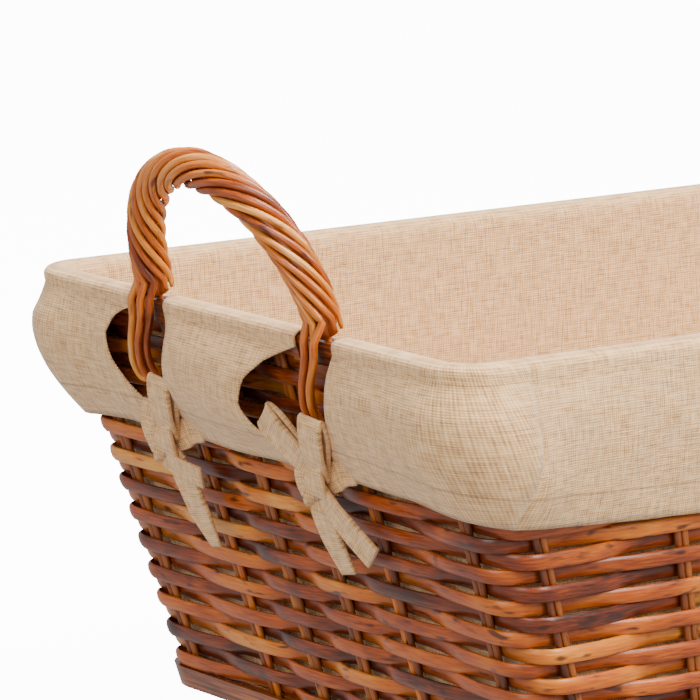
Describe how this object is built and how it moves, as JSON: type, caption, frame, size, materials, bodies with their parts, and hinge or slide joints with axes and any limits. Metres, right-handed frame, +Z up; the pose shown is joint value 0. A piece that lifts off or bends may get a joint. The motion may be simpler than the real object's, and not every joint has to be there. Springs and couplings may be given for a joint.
{
  "type": "laundry basket",
  "caption": "A rectangular laundry basket woven from split willow, flared at the ends, with twisted willow handles and a cloth liner folded over the rim and tied round the handles.",
  "frame": {"origin": "on the floor, under the middle of the basket", "axes": "+X along the basket's long side, +Y across it, +Z up"},
  "size_m": [0.6148, 0.3824, 0.3202],
  "materials": {
    "split_willow": "glossy varnish over honey-brown split willow",
    "stake_willow": "satin varnish",
    "base_willow": "satin varnish",
    "hoop_willow": "glossy varnish",
    "handle_willow": "glossy varnish over peeled rods",
    "linen_cloth": "matt plain-weave linen look"
  },
  "bodies": {
    "root": {"base_sticks": "base_willow", "base_weavers": "base_willow", "foot_hoop_inner": "hoop_willow", "foot_hoop_outer": "hoop_willow", "handle_left_bow": "handle_willow", "handle_left_strand_1": "handle_willow", "handle_left_strand_2": "handle_willow", "handle_left_strand_3": "handle_willow", "handle_left_strand_4": "handle_willow", "handle_left_strand_5": "handle_willow", "handle_right_bow": "handle_willow", "handle_right_strand_1": "handle_willow", "handle_right_strand_2": "handle_willow", "handle_right_strand_3": "handle_willow", "handle_right_strand_4": "handle_willow", "handle_right_strand_5": "handle_willow", "liner_back": "linen_cloth", "liner_floor": "linen_cloth", "liner_front": "linen_cloth", "liner_left": "linen_cloth", "liner_right": "linen_cloth", "liner_tie_left_back": "linen_cloth", "liner_tie_left_front": "linen_cloth", "liner_tie_right_back": "linen_cloth", "liner_tie_right_front": "linen_cloth", "rim_hoop_inner": "hoop_willow", "rim_hoop_outer": "hoop_willow", "rim_lashings": "hoop_willow", "stakes_back": "stake_willow", "stakes_front": "stake_willow", "stakes_left": "stake_willow", "stakes_right": "stake_willow", "weaver_course_01": "split_willow", "weaver_course_02": "split_willow", "weaver_course_03": "split_willow", "weaver_course_04": "split_willow", "weaver_course_05": "split_willow", "weaver_course_06": "split_willow", "weaver_course_07": "split_willow", "weaver_course_08": "split_willow", "weaver_course_09": "split_willow", "weaver_course_10": "split_willow", "weaver_course_11": "split_willow", "weaver_course_12": "split_willow", "weaver_course_13": "split_willow", "weaver_course_14": "split_willow", "weaver_course_15": "split_willow", "weaver_course_16": "split_willow", "weaver_course_17": "split_willow", "weaver_course_18": "split_willow", "weaver_course_19": "split_willow", "weaver_course_20": "split_willow", "weaver_course_21": "split_willow", "weaver_course_22": "split_willow", "weaver_course_23": "split_willow", "weaver_course_24": "split_willow", "weaver_course_25": "split_willow"}
  },
  "joints": []
}
